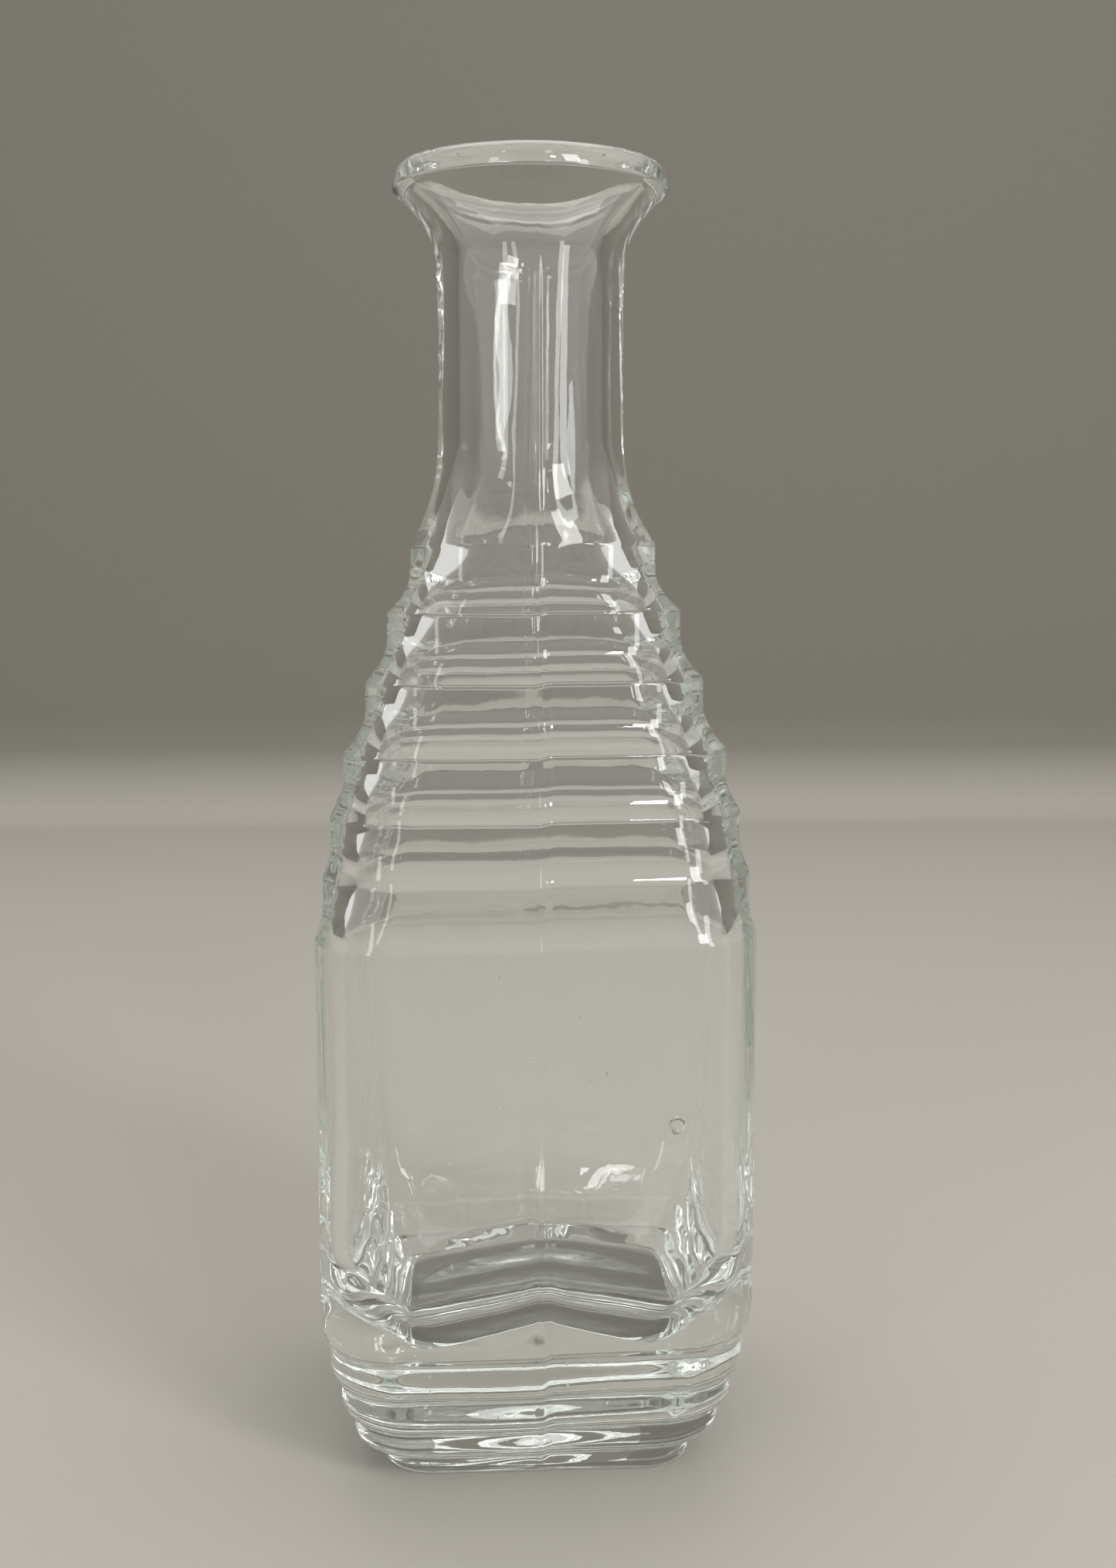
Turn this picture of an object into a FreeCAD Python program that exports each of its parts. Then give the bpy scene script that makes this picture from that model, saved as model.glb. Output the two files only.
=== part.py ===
import FreeCAD, Part
import math
import os

# A clear glass carafe: a square body on a stepped heel, a shoulder that rises in ringed tiers,
# a round neck and a flared round lip. Sizes are millimetres, +Z is up, and the origin is the
# centre of the underside. The glass is modelled in the zones that a glassmaker names, and each
# zone meets the next face to face on a level plane. Square zones are measured in from the body.

Vector = FreeCAD.Vector

# Body: the square block with rounded corners
body_half_width = 38.0
body_height = 70.5
body_lower_round = 7.0
body_corner_reach = 12.5

# Foot: the low block that the bottle stands on, dished underneath
foot_inset = 10.7
foot_height = 4.8
foot_flare = 1.5
foot_corner_reach = 8.5
foot_edge_round = 1.8
dish_radius = 18.0
dish_depth = 1.2

# Heel: rings that step outwards from the foot to the body, listed from the lowest
heel_ring_insets = [5.7, 3.6, 1.9]
heel_ring_heights = [5.8, 6.8, 7.2]
heel_ring_band = 2.4
heel_corner_reach = 11.0

# Shoulder: ring edges from the body's top edge to the highest ring, and the tiers between them
ring_insets = [0.4, 1.8, 3.2, 5.4, 9.0, 12.6, 16.6]
tier_heights = [10.2, 10.2, 10.4, 11.6, 11.5, 11.3]
lower_tiers = 3
tier_band = 3.6
tier_hollow_power = 1.7
ring_nose_inset = 0.35
ring_nose_drop = 0.75
shoulder_corner_reach = 12.0

# Throat, neck and lip, which turn from square to round and end in a trumpet mouth
throat_height = 17.5
throat_power = 2.0
throat_flare = 1.2
throat_flare_rise = 8.75
neck_radius = 16.4
neck_height = 30.5
bore_radius = 12.0
lip_height = 16.7
lip_radius = 24.0
rim_outer_drop = 4.2
rim_top_inset = 2.2
rim_inner_round = 2.0

# Inside: wall thickness, thick base and the round-bottomed hollow
wall = 4.7
base_thickness = 20.0
hollow_floor_radius = 21.0
hollow_floor_round = 14.0
hollow_corner_reach = 8.5

# Places of the outlines along a rounded edge, in degrees, and up a hollow slope, as shares
ROUND_ANGLES = (0.0, 22.0, 45.0, 68.0, 90.0)
SLOPE_SHARES = (0.0, 0.3, 0.65, 1.0)
THROAT_SHARES = (0.0, 0.2, 0.4, 0.6, 0.8, 1.0)

# A circle written in the same eight edges as a rounded square
CIRCLE_REACH = math.cos(math.pi / 8) - math.sin(math.pi / 8)
CIRCLE_BOW = 1.0 - math.cos(math.pi / 8)

# Half-widths that follow from the insets
foot_half_width = body_half_width - foot_inset
heel_ring_widths = [body_half_width - inset for inset in heel_ring_insets]
ring_widths = [body_half_width - inset for inset in ring_insets]
body_inside = body_half_width - wall

# Heights of the planes where the zones meet
heel_base = foot_height
body_base = heel_base + sum(heel_ring_heights)
shoulder_base = body_base + body_height
upper_base = shoulder_base + sum(tier_heights[:lower_tiers])
throat_base = shoulder_base + sum(tier_heights)
neck_base = throat_base + throat_height
lip_base = neck_base + neck_height
total_height = lip_base + lip_height


def arc(start, middle, end):
    """Circular edge through three points."""
    return Part.Arc(start, middle, end).toShape()


def blend(low, high, share):
    """Value part of the way from low to high."""
    return low + (high - low) * share


def quarter_round(angle):
    """How far out and how far up a rounded edge has come, as shares, at an angle round it."""
    return math.sin(math.radians(angle)), 1.0 - math.cos(math.radians(angle))


def outline(height, half_width, corner_reach, bow=0.0):
    """Closed level outline of four sides and four round corners.

    half_width is measured at the middle of a side, corner_reach is how far a corner runs along
    each side, and bow is how far a curved side falls back at its ends.
    """
    side_end = half_width - bow
    half_run = side_end - corner_reach
    corner_half_turn = math.pi / 4 - 2.0 * math.atan(bow / half_run)
    corner_radius = corner_reach / (math.sqrt(2.0) * math.sin(corner_half_turn))
    sagitta = corner_radius * (1.0 - math.cos(corner_half_turn))
    corner_mid = (half_run + side_end) / 2.0 + sagitta / math.sqrt(2.0)
    edges = []
    for quarter in range(4):
        turn = math.radians(90.0 * quarter)

        def place(x, y):
            return Vector(x * math.cos(turn) - y * math.sin(turn),
                          x * math.sin(turn) + y * math.cos(turn), height)

        side_start = place(side_end, -half_run)
        corner_start = place(side_end, half_run)
        if bow:
            edges.append(arc(side_start, place(half_width, 0.0), corner_start))
        else:
            edges.append(Part.LineSegment(side_start, corner_start).toShape())
        edges.append(arc(corner_start, place(corner_mid, corner_mid), place(half_run, side_end)))
    return Part.Wire(edges)


def ring(height, radius):
    """Circle as an outline, so that it lofts to a rounded square."""
    return outline(height, radius, CIRCLE_REACH * radius, CIRCLE_BOW * radius)


def loft(rows):
    """Solid through level outlines, straight from each one to the next."""
    return Part.makeLoft(rows, True, True)


def foot_zone():
    """Block with a rounded lower edge, sides that flare upwards and a round dish underneath."""
    rows = []
    for angle in ROUND_ANGLES:
        out, up = quarter_round(angle)
        inset = foot_edge_round * (1.0 - out)
        rows.append(outline(foot_edge_round * up, foot_half_width - inset, foot_corner_reach - inset))
    rows.append(outline(foot_height, foot_half_width + foot_flare, foot_corner_reach + foot_flare))
    ball_radius = (dish_radius ** 2 + dish_depth ** 2) / (2.0 * dish_depth)
    ball = Part.makeSphere(ball_radius, Vector(0, 0, dish_depth - ball_radius))
    return loft(rows).cut(ball)


def swell(base, height, low_width, high_width, low_reach, high_reach):
    """Outlines of a convex edge that rounds outwards from a crease until it stands upright."""
    rows = []
    for angle in ROUND_ANGLES:
        out, up = quarter_round(angle)
        rows.append(outline(base + height * up, blend(low_width, high_width, out),
                            blend(low_reach, high_reach, out)))
    return rows


def heel_zone():
    """Stepped rings between the foot and the body: each swells out and ends in an upright band."""
    height = heel_base
    width = foot_half_width + foot_flare
    reach = foot_corner_reach + foot_flare
    rows = [outline(height, width, reach)]
    for ring_width, ring_height in zip(heel_ring_widths, heel_ring_heights):
        edge = swell(height, ring_height - heel_ring_band, width, ring_width, reach, heel_corner_reach)
        height += ring_height
        width = ring_width
        reach = heel_corner_reach
        rows += edge[1:] + [outline(height, width, reach)]
    return loft(rows)


def body_zone():
    """Square block whose lower edge rounds in to the heel and whose top edge is the lowest ring."""
    rows = swell(body_base, body_lower_round, heel_ring_widths[-1], body_half_width,
                 heel_corner_reach, body_corner_reach)
    rows.append(outline(shoulder_base - ring_nose_drop, ring_widths[0], body_corner_reach))
    rows.append(outline(shoulder_base, ring_widths[0] - ring_nose_inset, body_corner_reach))
    return loft(rows)


def tier(base, height, low_width, high_width, low_reach):
    """Outlines of one tier: a hollow slope, an upright band and the nosed edge of the next ring."""
    slope_height = height - tier_band - ring_nose_drop
    rows = []
    for rise in SLOPE_SHARES:
        share = (1.0 - rise) ** tier_hollow_power
        rows.append(outline(base + slope_height * rise, blend(high_width, low_width, share),
                            blend(shoulder_corner_reach, low_reach, share)))
    rows.append(outline(base + slope_height + tier_band, high_width, shoulder_corner_reach))
    rows.append(outline(base + height, high_width - ring_nose_inset, shoulder_corner_reach))
    return rows


def shoulder_zone(base, first_tier, end_tier):
    """Run of ringed tiers, each narrower than the one below."""
    height = base
    low_reach = shoulder_corner_reach if first_tier else body_corner_reach
    rows = []
    for index in range(first_tier, end_tier):
        low_width = ring_widths[index] - ring_nose_inset
        rows = rows[:-1] + tier(height, tier_heights[index], low_width, ring_widths[index + 1], low_reach)
        height += tier_heights[index]
        low_reach = shoulder_corner_reach
    return loft(rows)


def throat_zone():
    """Sweep from the highest ring edge up to the round neck."""
    low_width = ring_widths[-1] - ring_nose_inset
    rows = []
    for rise in THROAT_SHARES:
        share = (1.0 - rise) ** throat_power
        rows.append(outline(throat_base + throat_height * rise, blend(neck_radius, low_width, share),
                            blend(CIRCLE_REACH * neck_radius, shoulder_corner_reach, share),
                            blend(CIRCLE_BOW * neck_radius, 0.0, share)))
    return loft(rows)


def neck_zone():
    """Round tube with the straight bore."""
    base = Vector(0, 0, neck_base)
    tube = Part.makeCylinder(neck_radius, neck_height, base)
    return tube.cut(Part.makeCylinder(bore_radius, neck_height, base))


def lip_point(radius, height):
    """Point of the lip's section."""
    return Vector(radius, 0, height)


def trumpet(low_radius, high_radius, top):
    """Edge that leaves the neck upright and bends outwards in one arc."""
    reach = high_radius - low_radius
    rise = top - lip_base
    bend_radius = (reach ** 2 + rise ** 2) / (2.0 * reach)
    half_turn = math.atan2(rise, bend_radius - reach) / 2.0
    middle = lip_point(low_radius + bend_radius * (1.0 - math.cos(half_turn)),
                       lip_base + bend_radius * math.sin(half_turn))
    return arc(lip_point(low_radius, lip_base), middle, lip_point(high_radius, top))


def lip_zone():
    """Trumpet flare with a thick rounded rim, turned about the axis."""
    diagonal = math.sqrt(0.5)
    rim_top_radius = lip_radius - rim_top_inset
    rim_edge_height = total_height - rim_outer_drop
    mouth_radius = rim_top_radius - rim_inner_round
    mouth_height = total_height - rim_inner_round
    rim_top = lip_point(rim_top_radius, total_height)
    outer_round = lip_point(rim_top_radius + diagonal * rim_top_inset,
                            rim_edge_height + diagonal * rim_outer_drop)
    inner_round = lip_point(rim_top_radius - diagonal * rim_inner_round,
                            mouth_height + diagonal * rim_inner_round)
    section = Part.Wire([
        trumpet(neck_radius, lip_radius, rim_edge_height),
        arc(lip_point(lip_radius, rim_edge_height), outer_round, rim_top),
        arc(rim_top, inner_round, lip_point(mouth_radius, mouth_height)),
        trumpet(bore_radius, mouth_radius, mouth_height),
        Part.LineSegment(lip_point(bore_radius, lip_base), lip_point(neck_radius, lip_base)).toShape(),
    ])
    return Part.Face(section).revolve(Vector(0, 0, 0), Vector(0, 0, 1), 360)


def hollow():
    """Space inside the glass below the neck: a round floor, a square body and a smooth shoulder."""
    rows = []
    for angle in ROUND_ANGLES:
        out, up = quarter_round(angle)
        width = blend(hollow_floor_radius, body_inside, out)
        roundness = 1.0 - out ** 2
        rows.append(outline(base_thickness + hollow_floor_round * up, width,
                            blend(hollow_corner_reach, CIRCLE_REACH * width, roundness),
                            blend(0.0, CIRCLE_BOW * width, roundness)))
    rows.append(outline(shoulder_base, body_inside, hollow_corner_reach))
    height = shoulder_base
    for ring_width, tier_height in zip(ring_widths[1:-1], tier_heights):
        height += tier_height
        rows.append(outline(height - tier_band, ring_width - wall, hollow_corner_reach))
    rows.append(ring(throat_base + throat_flare_rise, bore_radius + throat_flare))
    rows.append(ring(neck_base, bore_radius))
    return loft(rows)


def build():
    """Every zone by name, with the hollow taken out of the zones that surround it."""
    space = hollow()
    return {
        "foot": foot_zone(),
        "heel": heel_zone().cut(space),
        "body": body_zone().cut(space),
        "lower_shoulder": shoulder_zone(shoulder_base, 0, lower_tiers).cut(space),
        "upper_shoulder": shoulder_zone(upper_base, lower_tiers, len(tier_heights)).cut(space),
        "throat": throat_zone().cut(space),
        "neck": neck_zone(),
        "lip": lip_zone(),
    }


os.makedirs("parts", exist_ok=True)
for node, shape in build().items():
    shape.exportStep("parts/" + node + ".step")
    print(node, shape.ShapeType, "solids", len(shape.Solids), "valid", shape.isValid(),
          "volume_cm3", round(shape.Volume / 1000.0, 2))
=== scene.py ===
import math

import bmesh
import bpy
import numpy as np
from mathutils import Matrix, Vector, noise


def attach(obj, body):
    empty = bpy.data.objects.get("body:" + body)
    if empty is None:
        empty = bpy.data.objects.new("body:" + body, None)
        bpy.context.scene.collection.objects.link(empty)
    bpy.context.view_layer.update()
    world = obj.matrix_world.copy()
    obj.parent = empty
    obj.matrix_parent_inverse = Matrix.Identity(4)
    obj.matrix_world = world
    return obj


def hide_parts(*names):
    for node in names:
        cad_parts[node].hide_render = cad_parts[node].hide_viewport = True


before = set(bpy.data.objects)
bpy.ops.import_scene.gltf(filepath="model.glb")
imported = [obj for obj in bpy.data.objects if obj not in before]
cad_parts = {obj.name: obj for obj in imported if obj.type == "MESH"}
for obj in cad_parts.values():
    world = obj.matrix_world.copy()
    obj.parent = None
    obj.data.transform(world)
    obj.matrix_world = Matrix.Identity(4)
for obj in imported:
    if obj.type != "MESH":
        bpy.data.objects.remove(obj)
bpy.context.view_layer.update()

# Lengths in this script are millimetres until the mesh is written, in metres
MM = 0.001

# Foot, heel and body
FOOT_HEIGHT = 4.8
FOOT_HALF_WIDTH = 27.3
FOOT_FLARE = 1.5
FOOT_REACH = 8.5
FOOT_EDGE_ROUND = 1.8
DISH_RADIUS = 18.0
DISH_DEPTH = 1.2
HEEL_HALF_WIDTHS = [32.3, 34.4, 36.1]
HEEL_HEIGHTS = [5.8, 6.8, 7.2]
HEEL_BAND = 2.4
HEEL_REACH = 11.0
BODY_HALF_WIDTH = 37.6
BODY_HEIGHT = 70.5
BODY_LOWER_ROUND = 7.0
BODY_REACH = 12.5
FACE_BOW = 0.12

# Shoulder, neck and lip
RING_HALF_WIDTHS = [37.5, 36.2, 34.8, 32.6, 29.0, 25.4, 21.4]
TIER_HEIGHTS = [10.2, 10.2, 10.4, 11.6, 11.5, 11.3]
TIER_BAND = 4.35
TIER_POWER = 2.0
SHOULDER_REACH = 12.0
THROAT_HEIGHT = 17.5
THROAT_POWER = 2.0
NECK_RADIUS = 16.4
NECK_HEIGHT = 30.5
NECK_WAIST = 0.25
BORE_RADIUS = 12.0
LIP_HEIGHT = 16.7
LIP_RADIUS = 24.0
RIM_OUTER_DROP = 4.2
RIM_TOP_INSET = 2.2
RIM_INNER_ROUND = 2.0
LIP_POWER = 2.05

# Hollow
WALL = 4.7
BASE_THICKNESS = 23.0
FLOOR_HALF_WIDTH = 22.5
FLOOR_REACH = 9.5
FLOOR_BOW = 0.5
FLOOR_ROUND_HEIGHT = 20.0
FLOOR_START_ANGLE = 34.0
FLOOR_RIDGE = 5.0
HOLLOW_REACH = 8.5
THROAT_FLARE = 1.2

# Creases of the mould are softened over this distance
CREASE_ROUND = 0.6
CREASE_STEPS = 4

# Marks of the mould and of hand work: a seam ridge up the front and back, halves that don't quite
# meet, and waves in the glass, which are larger inside where no mould touched it
SEAM_PLACE = 0.6
SEAM_HEIGHT = 0.30
SEAM_WIDTH = 0.5
HALVES_SLIP = 0.45
SLIP_WIDTH = 1.6
HALVES_STEP = 0.15
HALVES_FALL = 0.05
MARKS_FACING = 2.0
MARKS_FADE_LOW = 3.0
MARKS_FADE_HIGH = 6.0
OUTER_WAVE = 0.15
INNER_WAVE = 0.34
NECK_WAVE = 0.75
WAVE_LENGTHS = [(17.0, 1.0), (6.5, 0.4)]
WAVE_STRETCH = 0.4
NECK_STREAK = 0.30
STREAK_LENGTH = 4.6
STREAK_STRETCH = 0.10
CHILL_DEPTH = 0.05
CHILL_LENGTH = 5.2
CHILL_BAND = (52.0, 11.0)
CHILL_ARCH = 5.0

# Seeds: small bubbles that stayed in the glass
SEED_COUNT = 46
SEED_RADII = (0.10, 0.34)
SEED_RANDOM = 7
SEED_SUBDIVISIONS = 2
SEED_FREE_HEIGHT = 14.0
SEED_STRETCH = 1.9
BASE_SEED_EVERY = 3
BASE_SEED_SPREAD = 0.8
BASE_SEED_MARGIN = 3.0
WALL_SEED_OFFSET = 1.0
BLISTER_PLACE = (22.5, -35.7, 65.0)
BLISTER_RADII = (1.4, 0.4, 1.6)

# Mesh density round the bottle: steps along a side, crowded towards its middle, and round a corner
SIDE_STEPS = 26
CORNER_STEPS = 20
SIDE_CLUSTER = 1.6

# Points that draw each curve of the profile; the neck's and the lip's start just past the curve before
NECK_FIRST_SHARE = 0.1
LIP_FIRST_SHARE = 0.08
DISH_POINTS = 12
EDGE_POINTS = 6
RING_POINTS = 14
TIER_POINTS = 12
THROAT_POINTS = 14
NECK_POINTS = 10
LIP_POINTS = 14
RIM_OUTER_POINTS = 8
RIM_INNER_POINTS = 7
FLOOR_POINTS = 16
MIDDLE_POINTS = 9

# Rows of the mesh on each stretch of the profile
DISH_ROWS = 14
UNDERSIDE_RIM_ROWS = 5
FOOT_ROWS = 12
RING_ROWS = 12
BODY_ROWS = 52
TIER_ROWS = 12
NECK_ROWS = 44
MOUTH_ROWS = 44
HOLLOW_SHOULDER_ROWS = 40
HOLLOW_WALL_ROWS = 34
FLOOR_ROWS = 26
MIDDLE_ROWS = 9

# Radius of the smallest row, next to each pole of the skin
POLE_RADIUS = 0.6

# A circle written in the same eight arcs as a rounded square
CIRCLE_REACH = math.cos(math.pi / 8) - math.sin(math.pi / 8)
CIRCLE_BOW = 1.0 - math.cos(math.pi / 8)

# Heights of the zones
HEEL_BASE = FOOT_HEIGHT
BODY_BASE = HEEL_BASE + sum(HEEL_HEIGHTS)
SHOULDER_BASE = BODY_BASE + BODY_HEIGHT
TOP_RING = SHOULDER_BASE + sum(TIER_HEIGHTS)
NECK_BASE = TOP_RING + THROAT_HEIGHT
LIP_BASE = NECK_BASE + NECK_HEIGHT
TOTAL_HEIGHT = LIP_BASE + LIP_HEIGHT


def mix(low, high, share):
    return low + (high - low) * share


def quarter(count):
    """Angles of a quarter turn, in radians."""
    return np.linspace(0.0, math.pi / 2, count)


def round_row(height, radius):
    return (height, radius, CIRCLE_REACH * radius, CIRCLE_BOW * radius)


# Profile of the glass, as stretches: each has its rows, as height, half width, corner reach and bow
# of the sides, and the number of rows that the mesh gets there
def underside_stretches():
    dish = []
    for radius in np.linspace(POLE_RADIUS, DISH_RADIUS, DISH_POINTS):
        depth = DISH_DEPTH * math.cos(math.pi / 2 * radius / DISH_RADIUS) ** 2
        dish.append(round_row(depth, radius))
    rim_outer = FOOT_HALF_WIDTH - FOOT_EDGE_ROUND
    rim = [dish[-1], (0.0, rim_outer, FOOT_REACH - FOOT_EDGE_ROUND, FACE_BOW)]
    edge = []
    for angle in quarter(EDGE_POINTS):
        inset = FOOT_EDGE_ROUND * (1.0 - math.sin(angle))
        rise = FOOT_EDGE_ROUND * (1.0 - math.cos(angle))
        edge.append((rise, FOOT_HALF_WIDTH - inset, FOOT_REACH - inset, FACE_BOW))
    side = [edge[-1], (FOOT_HEIGHT, FOOT_HALF_WIDTH + FOOT_FLARE, FOOT_REACH + FOOT_FLARE, FACE_BOW)]
    return [(dish, DISH_ROWS), (rim, UNDERSIDE_RIM_ROWS), (edge + side[1:], FOOT_ROWS)]


def swelling_step(base, height, band, low, high):
    """Convex ring from its lower crease to its upright band; low and high are width and reach."""
    rows = []
    for angle in quarter(RING_POINTS):
        share = math.sin(angle)
        rise = (height - band) * (1.0 - math.cos(angle))
        rows.append((base + rise, mix(low[0], high[0], share), mix(low[1], high[1], share), FACE_BOW))
    rows.append((base + height, high[0], high[1], FACE_BOW))
    return rows


def heel_and_body_stretches():
    stretches = []
    height = HEEL_BASE
    low = (FOOT_HALF_WIDTH + FOOT_FLARE, FOOT_REACH + FOOT_FLARE)
    for width, ring_height in zip(HEEL_HALF_WIDTHS, HEEL_HEIGHTS):
        high = (width, HEEL_REACH)
        stretches.append((swelling_step(height, ring_height, HEEL_BAND, low, high), RING_ROWS))
        height += ring_height
        low = high
    high = (BODY_HALF_WIDTH, BODY_REACH)
    body = swelling_step(BODY_BASE, BODY_HEIGHT, BODY_HEIGHT - BODY_LOWER_ROUND, low, high)
    body[-1] = (SHOULDER_BASE, RING_HALF_WIDTHS[0], BODY_REACH, FACE_BOW)
    stretches.append((body, BODY_ROWS))
    return stretches


def shoulder_stretches():
    stretches = []
    height = SHOULDER_BASE
    reach = BODY_REACH
    for low, high, tier_height in zip(RING_HALF_WIDTHS, RING_HALF_WIDTHS[1:], TIER_HEIGHTS):
        rows = []
        for rise in np.linspace(0.0, 1.0, TIER_POINTS):
            share = (1.0 - rise) ** TIER_POWER
            rows.append((height + (tier_height - TIER_BAND) * rise, mix(high, low, share),
                         mix(SHOULDER_REACH, reach, share), FACE_BOW))
        rows.append((height + tier_height, high, SHOULDER_REACH, FACE_BOW))
        stretches.append((rows, TIER_ROWS))
        height += tier_height
        reach = SHOULDER_REACH
    return stretches


def neck_and_lip_stretches():
    rows = []
    for rise in np.linspace(0.0, 1.0, THROAT_POINTS):
        share = (1.0 - rise) ** THROAT_POWER
        rows.append((TOP_RING + THROAT_HEIGHT * rise, mix(NECK_RADIUS, RING_HALF_WIDTHS[-1], share),
                     mix(CIRCLE_REACH * NECK_RADIUS, SHOULDER_REACH, share),
                     mix(CIRCLE_BOW * NECK_RADIUS, FACE_BOW, share)))
    for rise in np.linspace(NECK_FIRST_SHARE, 1.0, NECK_POINTS):
        waist = NECK_WAIST * math.sin(math.pi * rise)
        rows.append(round_row(NECK_BASE + NECK_HEIGHT * rise, NECK_RADIUS - waist))
    edge_height = TOTAL_HEIGHT - RIM_OUTER_DROP
    for rise in np.linspace(LIP_FIRST_SHARE, 1.0, LIP_POINTS):
        radius = mix(NECK_RADIUS, LIP_RADIUS, rise ** LIP_POWER)
        rows.append(round_row(mix(LIP_BASE, edge_height, rise), radius))
    rim = []
    top_radius = LIP_RADIUS - RIM_TOP_INSET
    for angle in quarter(RIM_OUTER_POINTS):
        rim.append(round_row(edge_height + RIM_OUTER_DROP * math.sin(angle),
                             top_radius + RIM_TOP_INSET * math.cos(angle)))
    for angle in quarter(RIM_INNER_POINTS)[1:]:
        rim.append(round_row(TOTAL_HEIGHT - RIM_INNER_ROUND * (1.0 - math.cos(angle)),
                             top_radius - RIM_INNER_ROUND * math.sin(angle)))
    mouth_radius = top_radius - RIM_INNER_ROUND
    mouth_height = TOTAL_HEIGHT - RIM_INNER_ROUND
    for fall in np.linspace(LIP_FIRST_SHARE, 1.0, LIP_POINTS):
        radius = mix(BORE_RADIUS, mouth_radius, (1.0 - fall) ** LIP_POWER)
        rim.append(round_row(mix(mouth_height, LIP_BASE, fall), radius))
    rim.append(round_row(NECK_BASE, BORE_RADIUS))
    return [(rows, NECK_ROWS), (rim, MOUTH_ROWS)]


def hollow_stretches():
    """Inside of the glass from the neck down to the middle of the floor."""
    inside = BODY_HALF_WIDTH - WALL
    keys = [round_row(NECK_BASE, BORE_RADIUS),
            round_row(NECK_BASE - THROAT_HEIGHT / 2, BORE_RADIUS + THROAT_FLARE)]
    height = TOP_RING
    for width, tier_height in zip(RING_HALF_WIDTHS[-2:0:-1], TIER_HEIGHTS[:0:-1]):
        height -= tier_height
        keys.append((height - TIER_BAND, width - WALL, HOLLOW_REACH, FACE_BOW))
    keys.append((SHOULDER_BASE, inside, HOLLOW_REACH, FACE_BOW))
    floor = []
    start = math.radians(FLOOR_START_ANGLE)
    for angle in np.linspace(math.pi / 2, start, FLOOR_POINTS):
        share = (math.sin(angle) - math.sin(start)) / (1.0 - math.sin(start))
        rise = 1.0 - math.cos(angle) / math.cos(start)
        floor.append((BASE_THICKNESS + FLOOR_ROUND_HEIGHT * rise, mix(FLOOR_HALF_WIDTH, inside, share),
                      mix(FLOOR_REACH, HOLLOW_REACH, share), mix(FLOOR_BOW, FACE_BOW, share)))
    edge = np.array([FLOOR_HALF_WIDTH, FLOOR_REACH, FLOOR_BOW])
    middle = []
    for share in np.linspace(1.0, POLE_RADIUS / FLOOR_HALF_WIDTH, MIDDLE_POINTS):
        middle.append((BASE_THICKNESS, *(share * edge)))
    wall = [keys[-1], floor[0]]
    shoulder = (smooth_rows(keys, HOLLOW_SHOULDER_ROWS), HOLLOW_SHOULDER_ROWS)
    return [shoulder, (wall, HOLLOW_WALL_ROWS), (floor, FLOOR_ROWS), (middle, MIDDLE_ROWS)]


def lengths_along(rows):
    """Length of the profile from its first row to each row."""
    return np.concatenate([[0.0], np.cumsum(np.hypot(*np.diff(rows[:, :2], axis=0).T))])


def smooth_rows(keys, count):
    """Rows on a smooth curve through the key rows."""
    keys = np.array(keys)
    steps = lengths_along(keys)
    slopes = np.gradient(keys, steps, axis=0)
    rows = []
    for place in np.linspace(0.0, steps[-1], count):
        low = min(np.searchsorted(steps, place, side="right") - 1, len(keys) - 2)
        high = low + 1
        span = steps[high] - steps[low]
        share = (place - steps[low]) / span
        from_low = 2 * share ** 3 - 3 * share ** 2 + 1
        slope_low = (share ** 3 - 2 * share ** 2 + share) * span
        from_high = 3 * share ** 2 - 2 * share ** 3
        slope_high = (share ** 3 - share ** 2) * span
        rows.append(from_low * keys[low] + slope_low * slopes[low]
                    + from_high * keys[high] + slope_high * slopes[high])
    return rows


def along(rows, start, end_cut, count):
    """Rows evenly spaced along a stretch, leaving out a length at each end."""
    rows = np.array(rows)
    steps = lengths_along(rows)
    places = np.linspace(start, steps[-1] - end_cut, count)
    return np.stack([np.interp(places, steps, column) for column in rows.T], 1)


def join(stretches):
    """All rows in one list, with each crease between stretches softened."""
    result = []
    for index, (rows, count) in enumerate(stretches):
        first = index == 0
        last = index == len(stretches) - 1
        part = along(rows, 0.0 if first else CREASE_ROUND, 0.0 if last else CREASE_ROUND, count)
        if not first:
            before = result[-1]
            corner = np.array(rows[0])
            for share in np.linspace(0.0, 1.0, CREASE_STEPS + 2)[1:-1]:
                rest = 1 - share
                result.append(rest ** 2 * before + 2 * share * rest * corner + share ** 2 * part[0])
        result.extend(part)
    return np.array(result)


def outline(half_width, reach, bow):
    """Points round one level outline, starting at the right-hand side's lower end."""
    side_end = half_width - bow
    half_run = side_end - reach
    side_radius = (half_run ** 2 + bow ** 2) / (2.0 * bow)
    side_turn = math.asin(half_run / side_radius)
    corner_half_turn = math.pi / 4 - side_turn
    corner_radius = math.sqrt(2.0) * reach / (2.0 * math.sin(corner_half_turn))
    corner_depth = corner_radius * math.cos(corner_half_turn) / math.sqrt(2.0)
    corner_distance = (half_run + side_end) / 2.0 - corner_depth
    places = np.linspace(-1.0, 1.0, SIDE_STEPS + 1)[:-1]
    places = np.sign(places) * np.abs(places) ** SIDE_CLUSTER
    side_angles = places * side_turn
    side = np.stack([half_width - side_radius * (1.0 - np.cos(side_angles)),
                     side_radius * np.sin(side_angles)], 1)
    corner_angles = math.pi / 4 + np.linspace(-1.0, 1.0, CORNER_STEPS + 1)[:-1] * corner_half_turn
    corner = corner_distance + corner_radius * np.stack([np.cos(corner_angles), np.sin(corner_angles)], 1)
    piece = np.concatenate([side, corner])
    turns = []
    for quarter_turn in range(4):
        angle = quarter_turn * math.pi / 2
        spin = np.array([[math.cos(angle), math.sin(angle)], [-math.sin(angle), math.cos(angle)]])
        turns.append(piece @ spin)
    return np.concatenate(turns)


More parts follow.
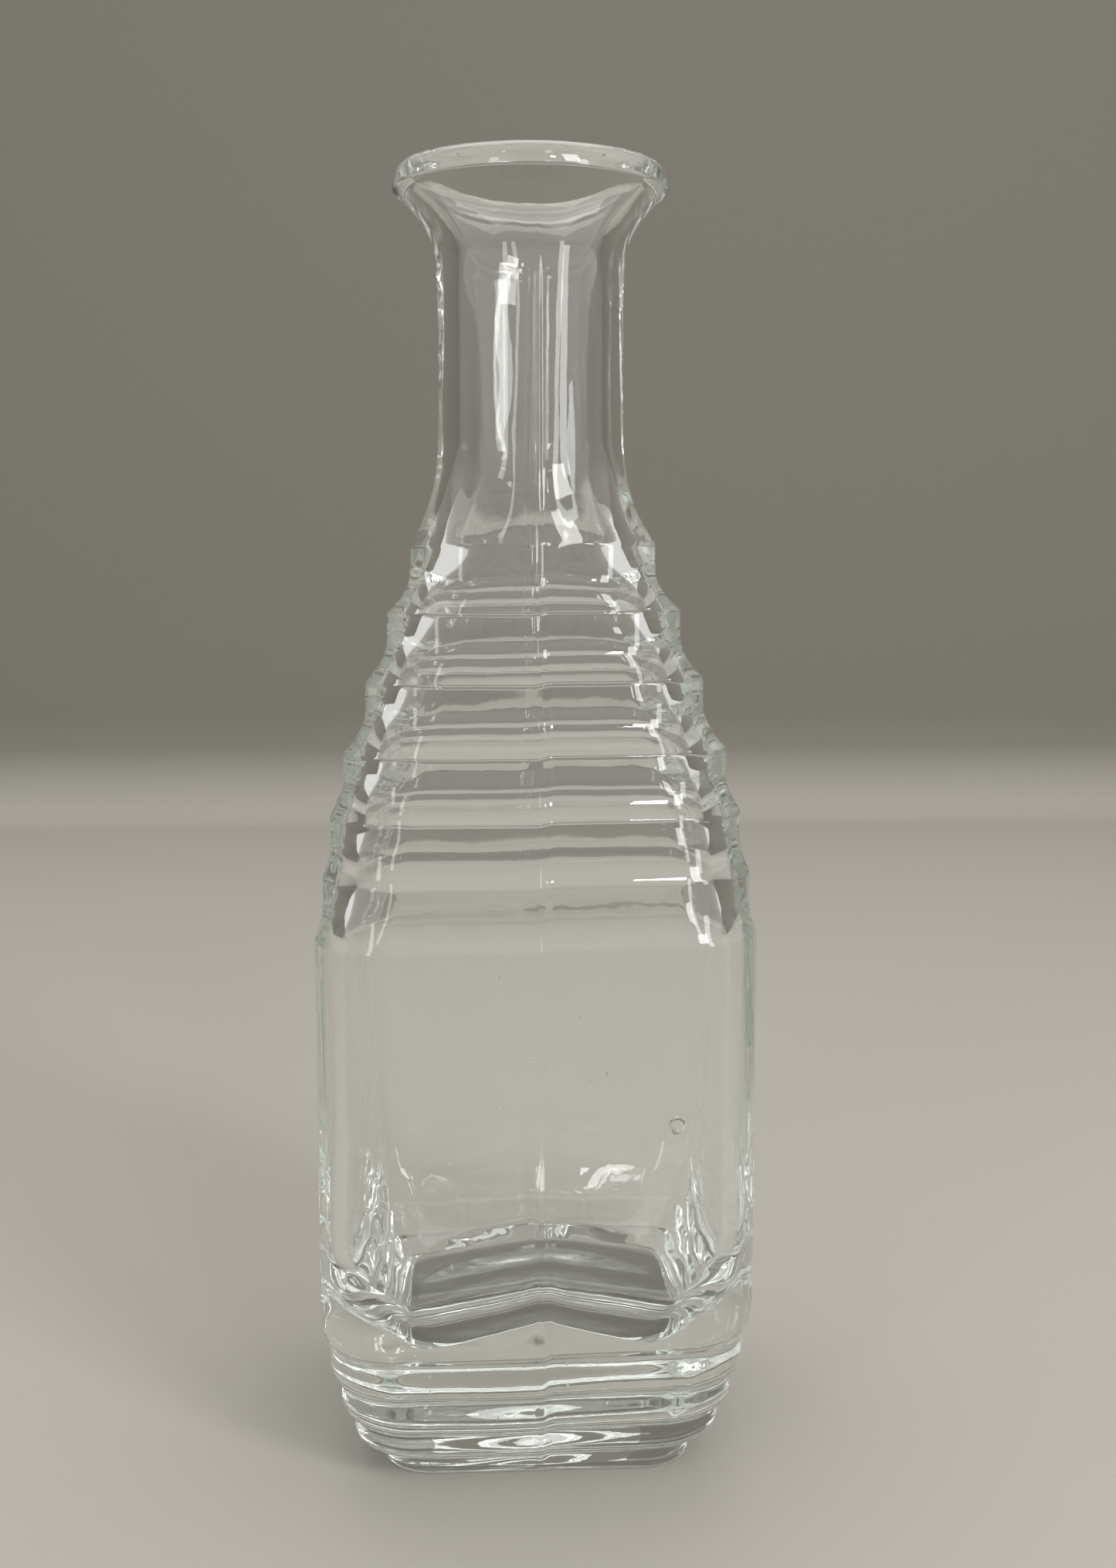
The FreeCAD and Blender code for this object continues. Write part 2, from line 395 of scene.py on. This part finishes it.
def smooth_step(places, width):
    """Rise from 0 to 1 across zero, over a width on each side."""
    share = np.clip(places / (2.0 * width) + 0.5, 0.0, 1.0)
    return share * share * (3.0 - 2.0 * share)


def mould_marks(points):
    """Outside points with the seam's ridge, and with one half of the mould set a little off."""
    points = points.copy()
    across = points[:, 0] - SEAM_PLACE
    slant = points[:, 1] / np.maximum(np.abs(points[:, 0]), POLE_RADIUS)
    facing = np.clip(MARKS_FACING * slant, -1.0, 1.0)
    above_foot = smooth_step(points[:, 2] - FOOT_HEIGHT, MARKS_FADE_LOW)
    below_lip = smooth_step(LIP_BASE - points[:, 2], MARKS_FADE_HIGH)
    in_mould = above_foot * below_lip
    right_half = smooth_step(across, SEAM_WIDTH)
    ridge = SEAM_HEIGHT * np.exp(-(across / SEAM_WIDTH) ** 2)
    fall = HALVES_STEP + HALVES_FALL * np.maximum(across, 0.0)
    points[:, 1] += facing * in_mould * (ridge - fall * right_half)
    points[:, 2] += HALVES_SLIP * in_mould * (smooth_step(across, SLIP_WIDTH) - 0.5)
    return points


def floor_ridge(points):
    """Inside points with the floor a little higher along the seam's plane, like a low roof."""
    points = points.copy()
    slope = np.maximum(1.0 - np.abs(points[:, 0] - SEAM_PLACE) / FLOOR_HALF_WIDTH, 0.0)
    near_floor = smooth_step(BASE_THICKNESS + FLOOR_ROUND_HEIGHT - points[:, 2], FLOOR_ROUND_HEIGHT / 2)
    points[:, 2] += FLOOR_RIDGE * slope * near_floor
    return points


def noise_at(row, stretch, shift, length):
    """Smooth noise at each point of a row, drawn out in height and shifted up."""
    return np.array([noise.noise(Vector((x, y, z * stretch + shift)) / length) for x, y, z in row])


def waves(rows, top_row):
    """Moves of every point square to the axis: waves, and inside also neck streaks and ripples."""
    moves = np.zeros_like(rows)
    for index, row in enumerate(rows):
        outside = index < top_row
        above_shoulder = smooth_step(row[:, 2] - TOP_RING, THROAT_HEIGHT)
        below_lip = smooth_step(LIP_BASE - row[:, 2], LIP_HEIGHT)
        inside_neck = above_shoulder * below_lip
        size = OUTER_WAVE if outside else mix(INNER_WAVE, NECK_WAVE, inside_neck)
        span = np.hypot(row[:, 0], row[:, 1])
        outward = np.column_stack([row[:, :2] / span[:, None], np.zeros(len(row))])
        height_shift = 0.0 if outside else TOTAL_HEIGHT
        depth = size * np.minimum(span / FLOOR_HALF_WIDTH, 1.0)
        for length, weight in WAVE_LENGTHS:
            lift = noise_at(row, WAVE_STRETCH, height_shift, length)
            moves[index] += outward * (depth * weight * lift)[:, None]
        if not outside:
            streaks = noise_at(row, STREAK_STRETCH, 0.0, STREAK_LENGTH)
            moves[index] += outward * (NECK_STREAK * inside_neck * streaks)[:, None]
            moves[index] += outward * chill_marks(row)[:, None]
    return moves.reshape(-1, 3)


def chill_marks(row):
    """Arched ripples across the lower half of each inside face, left where the glass cooled first."""
    sideways = np.minimum(np.abs(row[:, 0]), np.abs(row[:, 1])) / BODY_HALF_WIDTH
    height = row[:, 2] + CHILL_ARCH * sideways ** 2
    middle, spread = CHILL_BAND
    fade = np.exp(-((height - middle) / spread) ** 2)
    return CHILL_DEPTH * fade * np.sin(2.0 * math.pi * height / CHILL_LENGTH)


def seeds():
    """Bubbles in the wall of the body and in the thick base, as faces that look into the bubble."""
    draw = np.random.default_rng(SEED_RANDOM)
    ball = bmesh.new()
    bmesh.ops.create_icosphere(ball, subdivisions=SEED_SUBDIVISIONS, radius=1.0)
    unit = np.array([vertex.co[:] for vertex in ball.verts])
    sides = [tuple(vertex.index for vertex in reversed(face.verts)) for face in ball.faces]
    ball.free()
    result = []
    for index in range(SEED_COUNT):
        radius = mix(*SEED_RADII, draw.random() ** 2)
        stretch = np.array([1.0, 1.0, mix(1.0, SEED_STRETCH, draw.random())])
        if index % BASE_SEED_EVERY == 0:
            spread = FOOT_HALF_WIDTH * BASE_SEED_SPREAD
            centre = np.array([draw.uniform(-spread, spread), draw.uniform(-spread, spread),
                               draw.uniform(HEEL_BASE, BASE_THICKNESS - BASE_SEED_MARGIN)])
        else:
            spread = BODY_HALF_WIDTH - BODY_REACH
            turn = draw.integers(4) * math.pi / 2
            out = BODY_HALF_WIDTH - WALL / 2 + draw.uniform(-WALL_SEED_OFFSET, WALL_SEED_OFFSET)
            side = draw.uniform(-spread, spread)
            centre = np.array([out * math.cos(turn) - side * math.sin(turn),
                               out * math.sin(turn) + side * math.cos(turn),
                               draw.uniform(BODY_BASE + SEED_FREE_HEIGHT, SHOULDER_BASE)])
        result.append((centre + unit * radius * stretch, sides))
    result.append((np.array(BLISTER_PLACE) + unit * np.array(BLISTER_RADII), sides))
    return result


def glass_mesh():
    """One closed skin: up the outside, over the rim, down the inside to the floor."""
    rows = join(underside_stretches() + heel_and_body_stretches() + shoulder_stretches()
                + neck_and_lip_stretches() + hollow_stretches())
    top_row = int(np.argmax(rows[:, 0]))
    points = []
    for height, width, reach, bow in rows:
        flat = outline(width, reach, bow)
        points.append(np.column_stack([flat, np.full(len(flat), height)]))
    around = len(points[0])
    grid = np.concatenate([mould_marks(np.concatenate(points[:top_row])),
                           floor_ridge(np.concatenate(points[top_row:]))])
    grid = grid + waves(np.array(points), top_row)
    poles = np.array([[0.0, 0.0, rows[0][0]], [0.0, 0.0, rows[-1][0]]])
    vertices = np.concatenate([grid, poles])
    faces = []
    for row in range(len(rows) - 1):
        low = row * around
        high = low + around
        for step in range(around):
            after = (step + 1) % around
            faces.append((low + step, low + after, high + after, high + step))
    under = len(grid)
    last = (len(rows) - 1) * around
    for step in range(around):
        after = (step + 1) % around
        faces.append((under, after, step))
        faces.append((last + step, last + after, under + 1))
    for seed_points, seed_faces in seeds():
        faces += [tuple(len(vertices) + corner for corner in face) for face in seed_faces]
        vertices = np.concatenate([vertices, seed_points])
    mesh = bpy.data.meshes.new("carafe")
    mesh.from_pydata((vertices * MM).tolist(), [], faces)
    mesh.update()
    mesh.shade_smooth()
    return mesh


# Clear glass with a faint green in its thickness
GLASS_COLOUR = (0.985, 0.99, 0.985, 1.0)
GLASS_IOR = 1.52
DEPTH_COLOUR = (0.80, 0.86, 0.82, 1.0)
DEPTH_DENSITY = 6.0

# Finish of the glass: smudges and fine scratches that dull it, and the mould's faint ripple
SMUDGE_SCALE = 38.0
SMUDGE_STRETCH = (1.0, 1.0, 1.0)
SMUDGE_LEVELS = (0.52, 0.80)
SMUDGE_ROUGHNESS = 0.035
SCRATCH_SCALE = 60.0
SCRATCH_STRETCH = (1.0, 1.0, 26.0)
SCRATCH_LEVELS = (0.74, 0.80)
SCRATCH_ROUGHNESS = 0.22
MASK_DETAIL = 3.0
RIPPLE_SCALE = 190.0
RIPPLE_DEPTH = 0.035


def noise_mask(material, place, scale, stretch, levels, height):
    """Noise cut between two levels, from 0 up to a height."""
    nodes = material.node_tree.nodes
    links = material.node_tree.links
    mapping = nodes.new("ShaderNodeMapping")
    mapping.inputs["Scale"].default_value = stretch
    links.new(place, mapping.inputs["Vector"])
    texture = nodes.new("ShaderNodeTexNoise")
    texture.inputs["Scale"].default_value = scale
    texture.inputs["Detail"].default_value = MASK_DETAIL
    links.new(mapping.outputs["Vector"], texture.inputs["Vector"])
    cut = nodes.new("ShaderNodeMapRange")
    cut.inputs["From Min"].default_value = levels[0]
    cut.inputs["From Max"].default_value = levels[1]
    cut.inputs["To Max"].default_value = height
    links.new(texture.outputs["Fac"], cut.inputs["Value"])
    return cut.outputs["Result"]


def glass_material():
    material = bpy.data.materials.new("clear_glass")
    material.use_nodes = True
    nodes = material.node_tree.nodes
    links = material.node_tree.links
    shader = nodes["Principled BSDF"]
    shader.inputs["Base Color"].default_value = GLASS_COLOUR
    shader.inputs["Transmission Weight"].default_value = 1.0
    shader.inputs["IOR"].default_value = GLASS_IOR
    place = nodes.new("ShaderNodeTexCoord").outputs["Object"]
    smudges = noise_mask(material, place, SMUDGE_SCALE, SMUDGE_STRETCH, SMUDGE_LEVELS, SMUDGE_ROUGHNESS)
    scratches = noise_mask(material, place, SCRATCH_SCALE, SCRATCH_STRETCH, SCRATCH_LEVELS,
                           SCRATCH_ROUGHNESS)
    wear = nodes.new("ShaderNodeMath")
    wear.operation = "ADD"
    links.new(smudges, wear.inputs[0])
    links.new(scratches, wear.inputs[1])
    links.new(wear.outputs["Value"], shader.inputs["Roughness"])
    ripple = nodes.new("ShaderNodeTexNoise")
    ripple.inputs["Scale"].default_value = RIPPLE_SCALE
    links.new(place, ripple.inputs["Vector"])
    bump = nodes.new("ShaderNodeBump")
    bump.inputs["Strength"].default_value = 1.0
    bump.inputs["Distance"].default_value = RIPPLE_DEPTH * MM
    links.new(ripple.outputs["Fac"], bump.inputs["Height"])
    links.new(bump.outputs["Normal"], shader.inputs["Normal"])
    absorb = nodes.new("ShaderNodeVolumeAbsorption")
    absorb.inputs["Color"].default_value = DEPTH_COLOUR
    absorb.inputs["Density"].default_value = DEPTH_DENSITY
    links.new(absorb.outputs["Volume"], nodes["Material Output"].inputs["Volume"])
    return material


def carafe():
    piece = bpy.data.objects.new("carafe", glass_mesh())
    bpy.context.scene.collection.objects.link(piece)
    piece.data.materials.append(glass_material())
    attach(piece, "root")
    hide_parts("foot", "heel", "body", "lower_shoulder", "upper_shoulder", "throat", "neck", "lip")


# Camera: the photograph's height and focal length in pixels, and the camera's place by the bottle
PHOTO_HEIGHT = 2030.0
FOCAL_PIXELS = 2350.0
SENSOR = 24.0
CLIP_START = 10.0
CAMERA_SIDE = 4.8
CAMERA_DISTANCE = 325.0
CAMERA_HEIGHT = 159.5
CAMERA_PITCH = math.radians(7.36)
BOTTLE_TURN = math.radians(3.3)


def camera():
    data = bpy.data.cameras.new("camera")
    data.sensor_fit = "VERTICAL"
    data.sensor_height = SENSOR
    data.lens = SENSOR * FOCAL_PIXELS / PHOTO_HEIGHT
    data.clip_start = CLIP_START * MM
    eye = bpy.data.objects.new("camera", data)
    spin = Matrix.Rotation(-BOTTLE_TURN, 4, "Z")
    place = Matrix.Translation(Vector((CAMERA_SIDE, -CAMERA_DISTANCE, CAMERA_HEIGHT)) * MM)
    tilt = Matrix.Rotation(math.pi / 2 - CAMERA_PITCH, 4, "X")
    eye.matrix_world = spin @ place @ tilt
    bpy.context.scene.collection.objects.link(eye)
    bpy.context.scene.camera = eye


# Backdrop: a pale floor and a warm grey wall, whose colours meet in the bend between them
FLOOR_COLOUR = (0.47, 0.45, 0.41, 1.0)
WALL_COLOUR = (0.215, 0.205, 0.18, 1.0)
WALL_TURN = (0.0, 0.04)
BACKDROP_ROUGHNESS = 0.7
BEND_POINTS = 24


def backdrop_material():
    material = bpy.data.materials.new("backdrop")
    material.use_nodes = True
    nodes = material.node_tree.nodes
    links = material.node_tree.links
    shader = nodes["Principled BSDF"]
    shader.inputs["Roughness"].default_value = BACKDROP_ROUGHNESS
    place = nodes.new("ShaderNodeNewGeometry")
    split = nodes.new("ShaderNodeSeparateXYZ")
    links.new(place.outputs["Position"], split.inputs["Vector"])
    turn = nodes.new("ShaderNodeMapRange")
    turn.inputs["From Min"].default_value = WALL_TURN[0]
    turn.inputs["From Max"].default_value = WALL_TURN[1]
    links.new(split.outputs["Z"], turn.inputs["Value"])
    colour = nodes.new("ShaderNodeMix")
    colour.data_type = "RGBA"
    colour.inputs["A"].default_value = FLOOR_COLOUR
    colour.inputs["B"].default_value = WALL_COLOUR
    links.new(turn.outputs["Result"], colour.inputs["Factor"])
    links.new(colour.outputs["Result"], shader.inputs["Base Color"])
    return material


def backdrop():
    """Floor that curves up into a wall behind the bottle."""
    half_width = 30.0
    front = -30.0
    bend_start = 0.72
    bend_radius = 0.06
    wall_top = 0.75
    line = [(front, 0.0), (bend_start, 0.0)]
    for angle in quarter(BEND_POINTS)[1:]:
        line.append((bend_start + bend_radius * math.sin(angle), bend_radius * (1.0 - math.cos(angle))))
    line.append((bend_start + bend_radius, wall_top))
    vertices = []
    for y, z in line:
        vertices += [(-half_width, y, z), (half_width, y, z)]
    faces = []
    for left in range(0, 2 * len(line) - 2, 2):
        faces.append((left, left + 1, left + 3, left + 2))
    mesh = bpy.data.meshes.new("backdrop")
    mesh.from_pydata(vertices, [], faces)
    mesh.shade_smooth()
    sheet = bpy.data.objects.new("backdrop", mesh)
    bpy.context.scene.collection.objects.link(sheet)
    mesh.materials.append(backdrop_material())


def area_light(name, place, target, size, power, colour):
    """Rectangular lamp that faces a target and isn't seen by the camera itself."""
    data = bpy.data.lights.new(name, "AREA")
    data.shape = "RECTANGLE"
    data.size = size[0]
    data.size_y = size[1]
    data.energy = power
    data.color = colour
    lamp = bpy.data.objects.new(name, data)
    lamp.location = place
    lamp.rotation_euler = (Vector(target) - Vector(place)).to_track_quat("-Z", "Y").to_euler()
    lamp.visible_camera = False
    bpy.context.scene.collection.objects.link(lamp)


# Light of the room, and the turns that light may take in the glass
WORLD_COLOUR = (1.0, 0.985, 0.96, 1.0)
WORLD_STRENGTH = 0.72
GLASS_BOUNCES = 32


def lights():
    """A window, a small pane and two narrow strips in front, a large lamp above and an even room."""
    middle = (0.0, 0.0, 0.11)
    area_light("window", (0.60, -0.86, 0.75), middle, (0.28, 0.42), 3.8, (1.0, 0.99, 0.97))
    area_light("pane", (0.32, -1.0, 0.80), middle, (0.10, 0.13), 0.9, (1.0, 1.0, 1.0))
    area_light("left_strip", (-0.50, -0.76, 0.36), middle, (0.09, 0.60), 0.8, (1.0, 0.98, 0.95))
    area_light("right_strip", (0.62, -0.66, 0.34), middle, (0.13, 0.55), 1.5, (0.97, 0.98, 1.0))
    area_light("top", (0.0, 0.5, 1.5), (0.0, 0.2, 0.0), (1.2, 1.0), 5.5, (1.0, 0.99, 0.97))
    world = bpy.data.worlds.new("world")
    bpy.context.scene.world = world
    world.use_nodes = True
    shade = world.node_tree.nodes["Background"]
    shade.inputs["Color"].default_value = WORLD_COLOUR
    shade.inputs["Strength"].default_value = WORLD_STRENGTH


def clear_paths(cycles):
    """Let light turn often enough inside thick glass that its edges don't go black."""
    cycles.max_bounces = GLASS_BOUNCES
    cycles.glossy_bounces = GLASS_BOUNCES
    cycles.transmission_bounces = GLASS_BOUNCES


carafe()
camera()
backdrop()
lights()
bpy.context.scene.view_settings.view_transform = "Standard"
clear_paths(bpy.context.scene.cycles)
